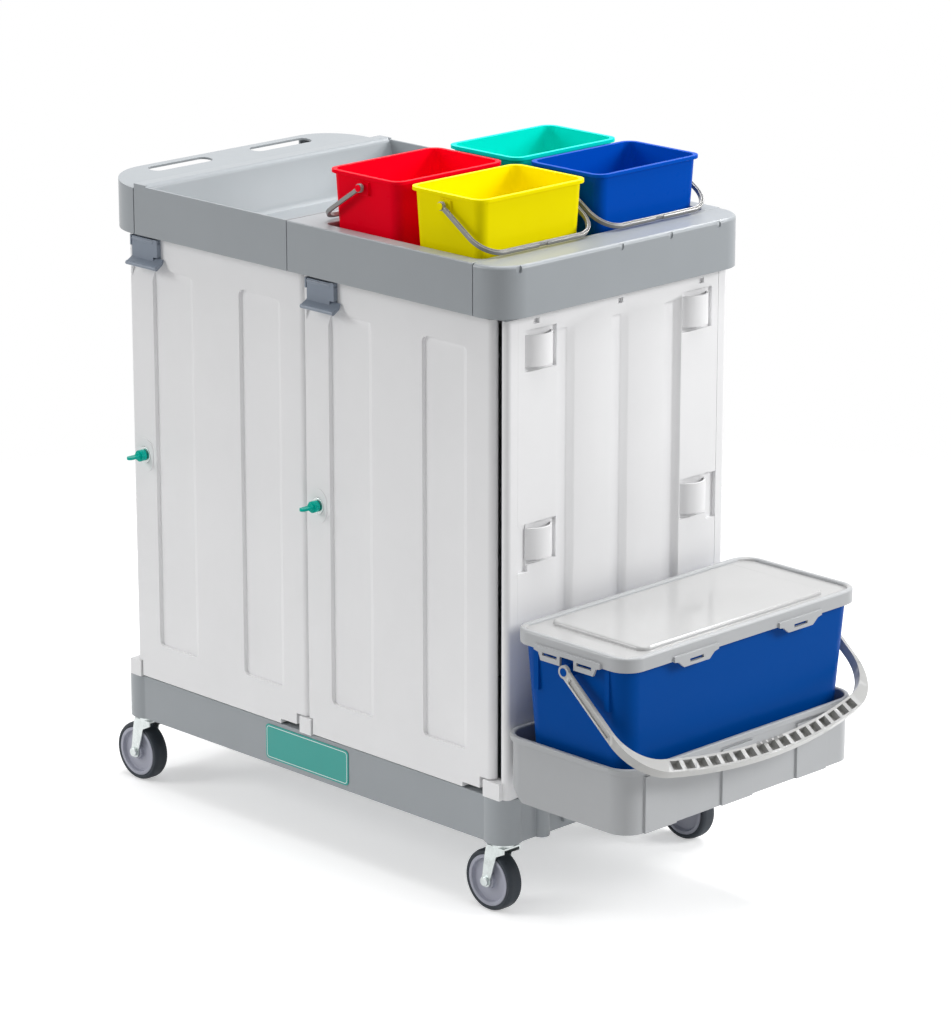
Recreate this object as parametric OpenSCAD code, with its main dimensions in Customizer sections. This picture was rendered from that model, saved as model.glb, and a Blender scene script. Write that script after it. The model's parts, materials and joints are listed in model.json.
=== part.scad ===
// Janitor cart: two-door cabinet on four swivel casters, grey trays on top,
// four small pails, and a lidded bucket carried in a tray at the right end.
// Millimetres. Z is up, X runs along the cart, the doors face minus Y.

/* [Top trays] */
// Width of the trays, front to back
top_wid = 580; // [565:1:620]
// Height of the tray rim above the floor
tray_top = 1106; // [1080:1:1140]
// Height of the grey band
band_h = 86; // [80:1:96]
// Length of the handle end
handle_len = 105; // [98:1:120]
// Length of the open left tray
left_len = 388; // [375:1:420]
// Length of the pail tray
right_len = 436; // [430:1:470]
// Length of the end cap
cap_len = 66; // [62:1:80]
// Wall of the moulded trays
tray_wall = 4; // [3:0.5:5]
// Corner radius of the end cap
cap_r = 56; // [40:1:60]
// Gap at each seam between tray mouldings
seam = 1.8; // [1:0.1:2.5]
// Length of each hand slot
slot_len = 138; // [110:1:145]
// Width of each hand slot
slot_w = 30; // [26:1:34]

/* [Cabinet] */
// Thickness of the end panels
panel_t = 18; // [16:1:22]
// Right end panel set in from the end of the trays
end_inset = 19; // [16:1:24]
// Left end panel set in from the handle edge
handle_over = 55; // [50:1:70]
// Door face set back from the tray front
door_back = 25; // [24:1:28]
// Thickness of the doors
door_t = 20; // [18:1:22]
// Gap between the two doors
door_gap = 4.5; // [4:0.5:6]
// Width of a door recess
recess_w = 104; // [90:1:110]
// Depth of a door recess
recess_d = 6; // [4:0.5:7]
// Width of a groove in the end panel
groove_w = 42; // [34:1:46]
// Depth of a groove in the end panel
groove_d = 11; // [6:0.5:11]
// Height of the locks above the floor
lock_z = 620; // [580:1:660]

/* [Base] */
// Underside of the base above the floor
base_z0 = 127; // [125:1:130]
// Top of the base above the floor
base_z1 = 207; // [200:1:213]
// Radius of a corner pod
pod_r = 33; // [30:0.5:35]
// Caster spacing along the cart
caster_px = 892; // [870:1:896]
// Caster spacing across the cart
caster_py = 472; // [460:1:480]
// Caster wheel diameter
wheel_d = 106; // [100:0.5:107]
// Tyre width
tyre_w = 30; // [26:0.5:31]
// Caster trail
trail = 22; // [18:0.5:24]

/* [Small pails] */
// Pail rim along the cart
pail_w = 169; // [160:1:172]
// Pail rim across the cart
pail_d = 248; // [240:1:252]
// Pail rim above the tray rim
pail_up = 93; // [88:1:100]
// Pail wall
pail_wall = 2.5; // [2:0.5:3]
// Pitch of the pails along the cart
pail_px = 190; // [188:1:194]
// Pitch of the pails across the cart
pail_py = 272; // [270:1:274]

/* [Large bucket] */
// Lid along the cart
lid_w = 259; // [250:1:265]
// Lid across the cart
lid_d = 564; // [550:1:568]
// Lid top above the floor
lid_z = 523; // [510:1:532]
// Bucket wall
bucket_wall = 3.5; // [3:0.5:4]
// Room that the carrier tray leaves along the cart, past the lid's width
carrier_room = 28; // [25:1:40]
// Carrier tray rim above the floor
carrier_z1 = 335; // [326:1:339]
// Carrier tray underside above the floor
carrier_z0 = 223; // [218:1:228]

/* [Fits] */
// Radial running fit of pins and shafts
run_fit = 0.05; // [0.03:0.01:0.08]
// Gap between moving and fixed faces
free_gap = 1; // [0.8:0.1:1.2]

/* [Hidden] */
$fn = 64;
small = 0.1;
top_len = handle_len + left_len + right_len + cap_len;
x_l = -top_len / 2;
x_s1 = x_l + handle_len;
x_s2 = x_s1 + left_len;
x_s3 = x_s2 + right_len;
x_r = top_len / 2;
y_f = -top_wid / 2;
y_b = top_wid / 2;
z_t = tray_top;
z_b = z_t - band_h;

x_pr = x_r - end_inset;
x_pl = x_l + handle_over;
panel_yh = y_b - door_back - door_t - 2;
y_d = y_f + door_back;
plate_t = 6;
plate_z = z_b - plate_t;
door_z0 = base_z1 + 3;
door_z1 = plate_z - 2;
door_h = door_z1 - door_z0;
x_d0 = x_pl + 8.5;
x_d3 = x_pr - 29;
door_w = (x_d3 - x_d0 - door_gap) / 2;
x_d2 = x_d3 - door_w;
x_mid = x_d0 + door_w + door_gap / 2;
stop_y = y_d + door_t + 25;
pin_r = 4;
pin_y = y_d + door_t / 2;
foot_h = 29;
foot_d = door_t + 1;
foot_out = 3;
notch_w = 18;
handle_up = 2;
handle_drop = 6;
lip_h = 6;
slot_edge = 14;
slot_y = 118;
rim_w = 30;
rim_up = 3;
notch_py = 116;
notch_y0 = -18;
foot_ws = [28, 28, 38];
foot_xs = [x_pl - 14, x_d0 + door_w - door_t / 2 - 8, x_d3 - door_t / 2 - 8];
latch_x = 10;
latch_w = 70;
loop_h = 53;
loop_zs = [z_b - 89, z_b - 410];
loop_y = 184;
loop_in = 5;
loop_rise = 18;
loop_r = 36;
lock_x = 27;
plug_r = 5;
ring_r = 14.5;
cam_y = door_t + 2 + panel_t / 2 + 5;

base_cx = 2;
base_yh = caster_py / 2 + pod_r - 7;
base_xh = caster_px / 2 + pod_r - 4;
rib_h = 16;
stem_r = 6;
stem_len = 52;
cup_r = 22;
axle_r = 5;
axle_z = wheel_d / 2;
fork_in = 17.2;
fork_t = 2.5;

floor_z = z_b + tray_wall;
pocket_m = 2;
pail_z0 = floor_z + 0.5;
pail_z1 = z_t + pail_up;
pail_cx = x_s3 - 10.5 - pocket_m - pail_w / 2 - pail_px / 2;
pocket_xh = pail_px / 2 + pail_w / 2 + pocket_m;
pocket_yh = pail_py / 2 + pail_d / 2 + pocket_m;
pail_piv = pail_z1 - 20;
pail_boss_r = 4;
bail_t = 7;
bail_in = pail_d / 2 + 1.5;
bail_out = bail_in + 6;
bail_drop = pail_piv - z_t - bail_t / 2 - 4;
bail_dx = pail_w / 2 + 15;
bail_len = sqrt(bail_dx * bail_dx + bail_drop * bail_drop);
bail_a = atan2(bail_drop, bail_dx);

carrier_w = lid_w + carrier_room;
carrier_x0 = x_pr + 4;
carrier_cx = carrier_x0 + carrier_w / 2;
carrier_d = lid_d;
bucket_cx = carrier_cx + 12;
rim_z = lid_z - 22;
bucket_z0 = carrier_z0 + tray_wall + 0.5;
bucket_w1 = lid_w - 22;
bucket_d1 = lid_d - 16;
bucket_w0 = bucket_w1 - 30;
bucket_d0 = bucket_d1 - 34;
big_piv = lid_z - 47;
big_boss_r = 7;
tab_t = 4;
arm_in = lid_d / 2 + tab_t + free_gap;
arm_out = arm_in + 6;
lid_side_y = 125;
grip_a = 40;
grip_r1 = 252;
grip_w = 25;
grip_t = 17;
bow_r = 1000;
bend_out = 90;
bend_in = 75;
grip_x1 = bucket_cx + grip_r1 * cos(grip_a) + grip_t / 2 * sin(grip_a);
relief_py = 182;
relief_y0 = -19;
bracket_y = 120;
bracket_reach = 170;
bracket_z = base_z0 + 24;
rib_y = 110;
rib_x = 220;

key_tip = y_d - 40;
left_end = min(x_l, base_cx - caster_px / 2 - trail - wheel_d / 2);
off_x = -(left_end + grip_x1) / 2;
boss_end = arm_out + 0.4;
off_y = -(key_tip + boss_end) / 2;

c_grey = [0.60, 0.62, 0.64];
c_pale = [0.74, 0.75, 0.76];
c_white = [0.90, 0.90, 0.92];
c_slate = [0.44, 0.47, 0.52];
c_teal = [0.0, 0.62, 0.56];
c_steel = [0.78, 0.80, 0.80];
c_bail = [0.66, 0.66, 0.65];
c_grip = [0.82, 0.82, 0.81];
c_blue = [0.0, 0.29, 0.62];

module placed() {
  translate([off_x, off_y, 0]) children();
}

// Rounded rectangle about the origin
module rrect(w, d, r) {
  square([w - 2 * r, d], center = true);
  square([w, d - 2 * r], center = true);
  for (sx = [-1, 1], sy = [-1, 1]) translate([sx * (w / 2 - r), sy * (d / 2 - r)]) circle(r = r);
}

module rbox(w, d, r, z0, z1) {
  translate([0, 0, z0]) linear_extrude(z1 - z0) rrect(w, d, r);
}

// Profile in X and Z run along Y
module along_y(y0, y1) {
  translate([0, y1, 0]) rotate([90, 0, 0]) linear_extrude(y1 - y0) children();
}

// Profile in Y and Z run along X
module along_x(x0, x1) {
  translate([x0, 0, 0]) rotate([90, 0, 90]) linear_extrude(x1 - x0) children();
}

module rod_y(r, y0, y1) {
  translate([0, y1, 0]) rotate([90, 0, 0]) cylinder(r = r, h = y1 - y0);
}

// Rod along Y from a to b on side s
module rod_side(s, r, a, b) {
  mirror([0, s < 0 ? 1 : 0, 0]) rod_y(r, a, b);
}

module rod_x(r, x0, x1) {
  translate([x0, 0, 0]) rotate([0, 90, 0]) cylinder(r = r, h = x1 - x0);
}

module block(x0, x1, y0, y1, z0, z1) {
  translate([x0, y0, z0]) cube([x1 - x0, y1 - y0, z1 - z0]);
}

function caster_x(i) = base_cx + (i % 2 == 0 ? -1 : 1) * caster_px / 2;
function caster_y(i) = (i < 2 ? -1 : 1) * caster_py / 2;

module at_caster(i) {
  translate([caster_x(i), caster_y(i), 0]) children();
}

module base_frame() {
  color(c_grey) placed() difference() {
    union() {
      difference() {
        translate([base_cx, 0, 0]) rbox(2 * base_xh, 2 * base_yh, 26, base_z0, base_z1);
        translate([base_cx, 0, 0])
          rbox(2 * base_xh - 10, 2 * base_yh - 10, 21, base_z0 - 1, base_z1 - tray_wall);
      }
      for (sy = [-1, 1])
        block(base_cx - base_xh + 3, base_cx + base_xh - 3, sy * rib_y - 2.5, sy * rib_y + 2.5,
          base_z1 - rib_h, base_z1 - 1);
      for (sx = [-1, 0, 1])
        block(base_cx + sx * rib_x - 2.5, base_cx + sx * rib_x + 2.5, 3 - base_yh, base_yh - 3,
          base_z1 - rib_h, base_z1 - 1);
      for (i = [0:3]) at_caster(i) translate([0, 0, base_z0]) cylinder(r = pod_r, h = base_z1 - base_z0);
      for (sy = [-1, 1]) translate([base_cx + base_xh, sy * 176, base_z0]) cylinder(r = 14, h = 62);
    }
    for (i = [0:3]) at_caster(i) translate([0, 0, base_z0 - 1]) cylinder(r = stem_r, h = 41);
  }
}

// Panel standing on the base, half round on its front and rear edges
module upright(x0, x1) {
  translate([0, 0, base_z1]) linear_extrude(plate_z - base_z1) {
    translate([x0, (x1 - x0) / 2 - panel_yh]) square([x1 - x0, 2 * panel_yh - (x1 - x0)]);
    for (s = [-1, 1]) translate([(x0 + x1) / 2, s * (panel_yh - (x1 - x0) / 2)]) circle(d = x1 - x0);
  }
}

// Grooves, top holes and loop recesses cut from an outer face at x, facing side s
module panel_cuts(x, s) {
  for (k = [-1, 0, 1]) translate([x, k * 126, base_z1 + 24]) linear_extrude(plate_z - 56 - base_z1)
    polygon([[s * 0.5, -groove_w / 2], [s * 0.5, groove_w / 2], [-s * groove_d, 4],
      [-s * groove_d, 6 - groove_w / 2]]);
  for (k = [-1, 0, 1]) translate([x - s * 6, k * 194 - 6.5, plate_z - 14]) translate([s > 0 ? 0 : -7, 0, 0])
    cube([7, 13, 9]);
  for (k = [-1, 1]) for (z = loop_zs) translate([x - s * loop_in, k * loop_y - loop_r, z - 8])
    translate([s > 0 ? 0 : -loop_in - 1, 0, 0]) cube([loop_in + 1, 2 * loop_r, loop_h + 16]);
  for (k = [-1, 1]) translate([x - s * 7, k * (loop_y + 46) - 17, loop_zs[1] - 20])
    translate([s > 0 ? 0 : -8, 0, 0]) cube([8, 34, loop_h + 27]);
}

module panel_left() {
  color(c_white) placed() difference() {
    upright(x_pl, x_pl + panel_t);
    panel_cuts(x_pl, -1);
  }
}

module panel_right() {
  color(c_white) placed() {
    difference() {
      upright(x_pr - panel_t, x_pr);
      panel_cuts(x_pr, 1);
    }
    block(x_d3 - door_t, x_pr - panel_t + 4, stop_y, stop_y + 4, base_z1, plate_z);
  }
}

module divider() {
  color(c_white) placed() upright(x_mid - 9, x_mid + 9);
}

// Arched loops that tools hook onto, two high on each end panel
module end_loops() {
  color(c_white) placed() for (s = [-1, 1]) {
    x = s > 0 ? x_pr - loop_in : x_pl + loop_in;
    for (k = [-1, 1]) for (z = loop_zs) translate([x, k * loop_y, z]) linear_extrude(loop_h)
      intersection() {
        translate([s * (loop_rise - loop_r), 0]) difference() {
          circle(r = loop_r, $fn = 96);
          circle(r = loop_r - 3.5, $fn = 96);
        }
        translate([s > 0 ? 0 : -loop_r, -loop_r]) square([loop_r, 2 * loop_r]);
      }
  }
}

// Two shallow upright recesses with round corners in a face, cut towards plus Y on side s
module recess_cuts(w, s) {
  edge = (w - 2 * recess_w) * 0.245;
  h = door_h - 118;
  for (a = [edge, w - edge - recess_w]) translate([a, 0, 66]) intersection() {
    linear_extrude(h) polygon([[0, -s], [0, 0], [2, s * recess_d], [recess_w - 14, s * recess_d],
      [recess_w, 0], [recess_w, -s]]);
    translate([recess_w / 2, door_t, h / 2]) rotate([90, 0, 0]) linear_extrude(2 * door_t)
      rrect(recess_w, h, 12);
  }
}

module rear_panel(x0) {
  color(c_white) placed() translate([x0, -y_d, base_z1]) difference() {
    translate([0, -door_t, 0]) cube([door_w, door_t, plate_z - base_z1]);
    recess_cuts(door_w, -1);
  }
}

module rear_panel_left() { rear_panel(x_d0); }
module rear_panel_right() { rear_panel(x_d2); }

// White blocks on the base; the door pins turn in the middle and right ones
module foot_blocks() {
  color(c_white) placed() difference() {
    for (k = [0:2]) translate([foot_xs[k], y_d, base_z1]) block(0, foot_ws[k], -foot_out, foot_d, 0, foot_h);
    for (k = [1, 2]) translate([foot_xs[k] + 8, pin_y, base_z1 + 4])
      cylinder(r = pin_r + run_fit, h = foot_h);
  }
}

module top_plate() {
  yh = -y_d - 2;
  color(c_grey) placed() difference() {
    block(x_pl, x_pr, -yh, yh, plate_z, z_b);
    for (k = [1, 2]) translate([foot_xs[k] + 8, pin_y, plate_z - 1])
      cylinder(r = pin_r + run_fit, h = plate_t + 2);
  }
}

// Plan of one end piece: square at the seam, round at the outer corners
module end_plan(len, r, inset) {
  intersection() {
    union() {
      translate([0, inset + r - top_wid / 2]) square([len - inset, top_wid - 2 * inset - 2 * r]);
      translate([0, inset - top_wid / 2]) square([len - inset - r, top_wid - 2 * inset]);
      for (s = [-1, 1]) translate([len - inset - r, s * (top_wid / 2 - inset - r)]) circle(r = r, $fn = 96);
    }
    translate([0, -top_wid]) square([len, 2 * top_wid]);
  }
}

// Wide rim at the left end with two hand slots, open underneath and at its outer side
module handle_end() {
  zh = z_t + handle_up;
  zs = z_t - handle_drop;
  len = handle_len - seam;
  r = handle_len - 3;
  foot = handle_len - handle_over - 1;
  color(c_grey) placed() translate([x_s1 - seam, 0, 0]) mirror([1, 0, 0]) difference() {
    intersection() {
      translate([0, 0, z_b]) linear_extrude(zh - z_b) end_plan(len, r, 0);
      along_y(2 * y_f, 2 * y_b) polygon([[-1, z_b - 1], [len + 1, z_b - 1], [len + 1, zh], [-1, zs]]);
    }
    difference() {
      intersection() {
        translate([0, 0, z_b - 1]) linear_extrude(zh - z_b) end_plan(len, r - tray_wall, tray_wall);
        along_y(2 * y_f, 2 * y_b) polygon([[-1, z_b - 2], [len + 1, z_b - 2], [len + 1, zh - tray_wall],
          [-1, zs - tray_wall]]);
      }
      block(-1, tray_wall, y_f, y_b, z_b - 2, zh);
      block(-1, foot, y_f, y_b, z_b - 2, floor_z);
    }
    block(len - 2 * tray_wall, len + 1, r - y_b, y_b - r, z_b - 1, zh - lip_h);
    for (s = [-1, 1]) translate([len - slot_w / 2 - slot_edge, s * slot_y, zs - tray_wall])
      linear_extrude(band_h) rrect(slot_w, slot_len, slot_w / 2 - 0.5);
  }
}

module tray_left() {
  x0 = x_s1;
  x1 = x_s2 - seam;
  color(c_grey) placed() {
    along_y(y_f, y_b) difference() {
      union() {
        translate([x0, z_b]) square([x1 - x0, band_h]);
        translate([x0, z_t - 1]) square([rim_w, rim_up + 1]);
      }
      polygon([[x0 + rim_w, z_t + rim_up + 1], [x0 + rim_w, z_t - 1], [x0 + rim_w + 16, floor_z + 12],
        [x0 + rim_w + 28, floor_z], [x1 - 34, floor_z], [x1 - 20, floor_z + 9], [x1 - tray_wall, z_t - 8],
        [x1 - tray_wall, z_t + rim_up + 1]]);
      polygon([[x0 + tray_wall, z_b - 1], [x0 + tray_wall, z_t - 6], [x0 + rim_w - 5, z_t - 6],
        [x0 + rim_w + 10, z_b - 1]]);
    }
    for (s = [-1, 1]) translate([0, s > 0 ? y_b - tray_wall : y_f, 0])
      block(x0, x1, 0, tray_wall, z_b, z_t);
  }
}

module tray_right() {
  x0 = x_s2;
  x1 = x_s3 - seam;
  w = tray_wall;
  color(c_grey) placed() {
    difference() {
      block(x0, x1, y_f, y_b, z_b, z_t);
      translate([pail_cx, 0, 0]) rbox(2 * pocket_xh, 2 * pocket_yh, 14, floor_z, z_t + 1);
      difference() {
        block(x0 + w, x1 - w, y_f + w, y_b - w, z_b - 1, z_t - w);
        translate([pail_cx, 0, 0]) rbox(2 * pocket_xh + 2 * w, 2 * pocket_yh + 2 * w, 18, z_b - 2, z_t);
      }
    }
    block(pail_cx - 4, pail_cx + 4, -pocket_yh, pocket_yh, floor_z - 1, floor_z + 22);
    block(pail_cx - pocket_xh, pail_cx + pocket_xh, -4, 4, floor_z - 1, floor_z + 22);
  }
}

module end_cap() {
  color(c_grey) placed() translate([x_s3, 0, 0]) difference() {
    translate([0, 0, z_b]) linear_extrude(band_h) end_plan(cap_len, cap_r, 0);
    difference() {
      translate([0, 0, z_b - 1]) linear_extrude(band_h - tray_wall + 1)
        end_plan(cap_len, cap_r - tray_wall, tray_wall);
      block(-1, tray_wall, y_f, y_b, z_b - 2, z_t);
    }
    for (k = [-2, 0, 1, 2]) translate([cap_len - (k < 0 ? 5 : 2.5), notch_y0 + k * notch_py, z_t - 8]) {
      rod_x(5, 0, 6);
      translate([0, -5, 0]) cube([6, 10, 12]);
    }
  }
}

// Tray at the right end that carries the large bucket
module carrier_tray() {
  w = tray_wall;
  bw = carrier_w - 10;
  bd = carrier_d - 10;
  xe = carrier_cx - bw / 2;
  color(c_pale) placed() {
    difference() {
      translate([carrier_cx, 0, 0]) rbox(bw, bd, 40, carrier_z0, carrier_z1);
      difference() {
        translate([carrier_cx, 0, 0]) rbox(bw - 2 * w, bd - 2 * w, 40 - w, carrier_z0 + w, carrier_z1 + 1);
        along_y(-carrier_d, carrier_d)
          polygon([[xe - 1, carrier_z0], [xe + 46 + w, carrier_z0], [xe - 1, carrier_z0 + 42 + w]]);
      }
      along_y(-carrier_d, carrier_d)
        polygon([[xe - 1, carrier_z0 - 1], [xe + 44, carrier_z0 - 1], [xe - 1, carrier_z0 + 38]]);
    }
    difference() {
      translate([carrier_cx, 0, 0]) rbox(carrier_w, carrier_d, 45, carrier_z1 - 10, carrier_z1);
      translate([carrier_cx, 0, 0]) rbox(bw - 2 * w, bd - 2 * w, 40 - w, carrier_z1 - 11, carrier_z1 + 1);
    }
    for (k = [-1, 0, 1]) translate([carrier_cx + bw / 2, relief_y0 + k * relief_py, 0])
      block(-1, 4, -37, 37, carrier_z0, carrier_z1 - 16);
  }
}

// Two arms bolted to the end of the base under the carrier tray
module carrier_brackets() {
  xb = base_cx + base_xh;
  color(c_grey) placed() for (s = [-1, 1]) difference() {
    along_y(s * bracket_y - 9, s * bracket_y + 9) polygon([[xb, bracket_z - 12], [xb + 7, bracket_z - 12],
      [xb + 7, bracket_z + 12], [xb + 26, carrier_z0 - 24], [xb + bracket_reach, carrier_z0 - 10],
      [xb + bracket_reach, carrier_z0], [xb + 55, carrier_z0], [xb + 16, carrier_z0 - 10],
      [xb, carrier_z0 - 22]]);
    translate([0, s * bracket_y, bracket_z]) rod_x(4, xb - 1, xb + 12);
  }
}

module bracket_bolts() {
  xb = base_cx + base_xh;
  color(c_steel) placed() for (s = [-1, 1]) translate([0, s * bracket_y, bracket_z]) {
    rod_x(4, xb, xb + 7);
    rod_x(7, xb + 7, xb + 12);
  }
}

// Catches beside the locks on the left panel and the divider
module lock_keepers() {
  color(c_steel) placed() for (k = [0, 1]) {
    x = k == 0 ? x_pl + panel_t : x_mid + 9;
    y = y_d + cam_y - 4;
    block(x, x + 10, y, y + 2, lock_z - 14, lock_z + 14);
    block(x, x + 2.5, y, y + 14, lock_z - 14, lock_z + 14);
  }
}

module swivel_stems() {
  color(c_steel) placed() for (i = [0:3]) at_caster(i) {
    translate([0, 0, base_z0 - 4]) cylinder(r = cup_r, h = 4);
    translate([0, 0, base_z0 - 15]) cylinder(r = stem_r, h = stem_len);
    translate([0, 0, base_z0 - 15.5]) cylinder(r = 9, h = 3.5);
  }
}

module door(x0, k) {
  pocket_z = door_h - 54;
  notch_h = base_z1 + foot_h + 3 - door_z0;
  xp = door_w - door_t / 2;
  color(c_white) placed() translate([x0, y_d, door_z0]) difference() {
    union() {
      linear_extrude(door_h) {
        square([xp, door_t]);
        translate([xp, door_t / 2]) circle(d = door_t);
      }
      translate([lock_x, 1, lock_z - door_z0]) rotate([90, 0, 0]) linear_extrude(2.2) rrect(44, 60, 21);
    }
    recess_cuts(door_w, 1);
    translate([xp - notch_w, -1, -1]) cube([door_t / 2 + notch_w + 10, door_t + 2, notch_h]);
    translate([xp - notch_w - 40, -1, -1]) cube([42, door_t + 2, 9]);
    translate([-1, -1, -1]) cube([foot_xs[k] + foot_ws[k] + 4 - x0, door_t + 2, notch_h]);
    translate([latch_x, -1, pocket_z]) cube([latch_w, 7, 60]);
    along_x(latch_x - 6, latch_x + latch_w + 12)
      polygon([[-1, pocket_z - 22], [0, pocket_z - 22], [6, pocket_z - 2], [6, pocket_z + 8],
        [-1, pocket_z + 8]]);
    translate([lock_x, 0, lock_z - door_z0]) {
      rod_y(11, -2, door_t + 1);
      rod_y(ring_r + 0.5, -3, 0);
    }
    for (z = [base_z1 + foot_h + 1 - door_z0, door_h - 24]) translate([xp, door_t / 2, z])
      cylinder(r = pin_r, h = 26);
  }
}

module door_left() { door(x_d0, 0); }
module door_right() { door(x_d2, 1); }

module door_pins(x0) {
  color(c_steel) placed() translate([x0 + door_w - door_t / 2, pin_y, 0]) {
    translate([0, 0, base_z1 + 6]) cylinder(r = pin_r, h = foot_h + 19);
    translate([0, 0, door_z1 - 24]) cylinder(r = pin_r, h = 24 + plate_t + 1);
  }
}

module door_pins_left() { door_pins(x_d0); }
module door_pins_right() { door_pins(x_d2); }

module lock_barrel(x0) {
  color(c_steel) placed() translate([x0 + lock_x, y_d, lock_z]) difference() {
    union() {
      rod_y(11, 0, door_t);
      rod_y(ring_r, -2.5, 0);
    }
    rod_y(plug_r + run_fit, -4, door_t + 1);
  }
}

module lock_left() { lock_barrel(x_d0); }
module lock_right() { lock_barrel(x_d2); }

// Backing plate with two cheeks that carry the lever pivot
module latch_base(x0) {
  color(c_slate) placed() translate([x0 + latch_x, y_d, door_z1 - 54]) difference() {
    union() {
      block(0, latch_w, 2, 6, 8, 54);
      block(latch_w - 10, latch_w, -9, 6, 23, 54);
      block(0, 3, -9, 6, 36, 54);
    }
    translate([0, -4.5, 48]) rod_x(2.5 + run_fit, -1, latch_w + 1);
  }
}

module latch_base_left() { latch_base(x_d0); }
module latch_base_right() { latch_base(x_d2); }

module latch_lever(x0) {
  color(c_slate) placed() translate([x0 + latch_x, y_d, door_z1 - 54]) {
    along_x(4, latch_w - 11) {
      translate([-8, 16]) square([5, 37]);
      translate([-4.5, 48]) circle(r = 4.5);
    }
    along_x(2, latch_w + 10) {
      polygon([[-3, 21], [-8, 16], [-19, 10], [-21, 5], [-17, 4], [-6, 11], [-3, 16]]);
      translate([-19, 7]) circle(r = 3.6);
    }
    translate([0, -4.5, 48]) rod_x(2.5, 0.5, latch_w - 1);
  }
}

module latch_lever_left() { latch_lever(x_d0); }
module latch_lever_right() { latch_lever(x_d2); }

// Key with its cam behind the door
module key(x0) {
  color(c_teal) placed() translate([x0 + lock_x, y_d, lock_z]) {
    rod_y(plug_r, -8, cam_y + 3.5);
    rod_y(10, -14, -4);
    rod_y(7, -18, -12);
    block(-6, 6, -34, -15, -2.2, 2.2);
    translate([0, -34, -2.2]) cylinder(r = 6, h = 4.4);
    block(-plug_r, plug_r, cam_y, cam_y + 3.5, -6, 13);
  }
}

module key_left() { key(x_d0); }
module key_right() { key(x_d2); }

function pail_x(i) = pail_cx + (i % 2 == 0 ? -1 : 1) * pail_px / 2;
function pail_y(i) = (i < 2 ? -1 : 1) * pail_py / 2;

module taper(w0, d0, r0, w1, d1, r1, z0, z1) {
  hull() {
    for (sx = [-1, 1], sy = [-1, 1]) {
      translate([sx * (w0 / 2 - r0), sy * (d0 / 2 - r0), z0]) cylinder(r = r0, h = small, $fn = 32);
      translate([sx * (w1 / 2 - r1), sy * (d1 / 2 - r1), z1 - small]) cylinder(r = r1, h = small, $fn = 32);
    }
  }
}

module pail(i, c) {
  w1 = pail_w - 10;
  d1 = pail_d - 10;
  w0 = w1 - 18;
  d0 = d1 - 18;
  t = pail_wall;
  color(c) placed() translate([pail_x(i), pail_y(i), 0]) {
    difference() {
      union() {
        taper(w0, d0, 16, w1, d1, 20, pail_z0, pail_z1);
        rbox(pail_w, pail_d, 22, pail_z1 - 6, pail_z1);
        for (s = [-1, 1]) translate([-13, s * (d1 / 2 - 2) - 5, pail_piv - 13]) cube([26, 10, 22]);
      }
      taper(w0 - 2 * t, d0 - 2 * t, 16 - t, w1 - 2 * t, d1 - 2 * t, 20 - t, pail_z0 + 3, pail_z1 + 1);
    }
    for (s = [-1, 1]) translate([0, 0, pail_piv]) {
      rod_side(s, pail_boss_r, d1 / 2 - 2, bail_out + 0.5);
      rod_side(s, pail_boss_r + 2, bail_out + 0.5, bail_out + 2);
    }
  }
}

module pail_red() { pail(0, [0.88, 0.0, 0.14]); }
module pail_yellow() { pail(1, [1.0, 0.90, 0.0]); }
module pail_teal() { pail(2, [0.0, 0.78, 0.70]); }
module pail_blue() { pail(3, [0.0, 0.27, 0.70]); }

// Flat loop through both pivots, folded down to one side
module pail_bail(i) {
  s = i % 2 == 0 ? -1 : 1;
  color(c_bail) placed() translate([pail_x(i), pail_y(i), pail_piv]) mirror([s < 0 ? 1 : 0, 0, 0])
    rotate([0, bail_a, 0]) difference() {
      union() {
        translate([0, 0, -bail_t / 2]) linear_extrude(bail_t) intersection() {
          difference() {
            translate([bail_t / 2, 0]) rrect(2 * bail_len, 2 * bail_out, 46);
            translate([-bail_t / 2, 0]) rrect(2 * bail_len, 2 * bail_in, 40);
          }
          translate([0, -bail_out]) square([2 * bail_len, 2 * bail_out]);
        }
        for (q = [-1, 1]) rod_side(q, pail_boss_r + 3.5, bail_in, bail_out);
      }
      translate([0, 0, bail_t / 2 - 1.5]) linear_extrude(2) intersection() {
        difference() {
          translate([1, 0]) rrect(2 * bail_len, 2 * bail_in + 8, 44);
          translate([-1, 0]) rrect(2 * bail_len, 2 * bail_in + 4, 42);
        }
        translate([12, -bail_out]) square([2 * bail_len, 2 * bail_out]);
      }
      rod_y(pail_boss_r + run_fit, -bail_out - 5, bail_out + 5);
      translate([bail_len + bail_t / 2 - 1.5, -9, -5]) cube([3, 18, 10]);
    }
}

module bail_red() { pail_bail(0); }
module bail_yellow() { pail_bail(1); }
module bail_teal() { pail_bail(2); }
module bail_blue() { pail_bail(3); }

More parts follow.
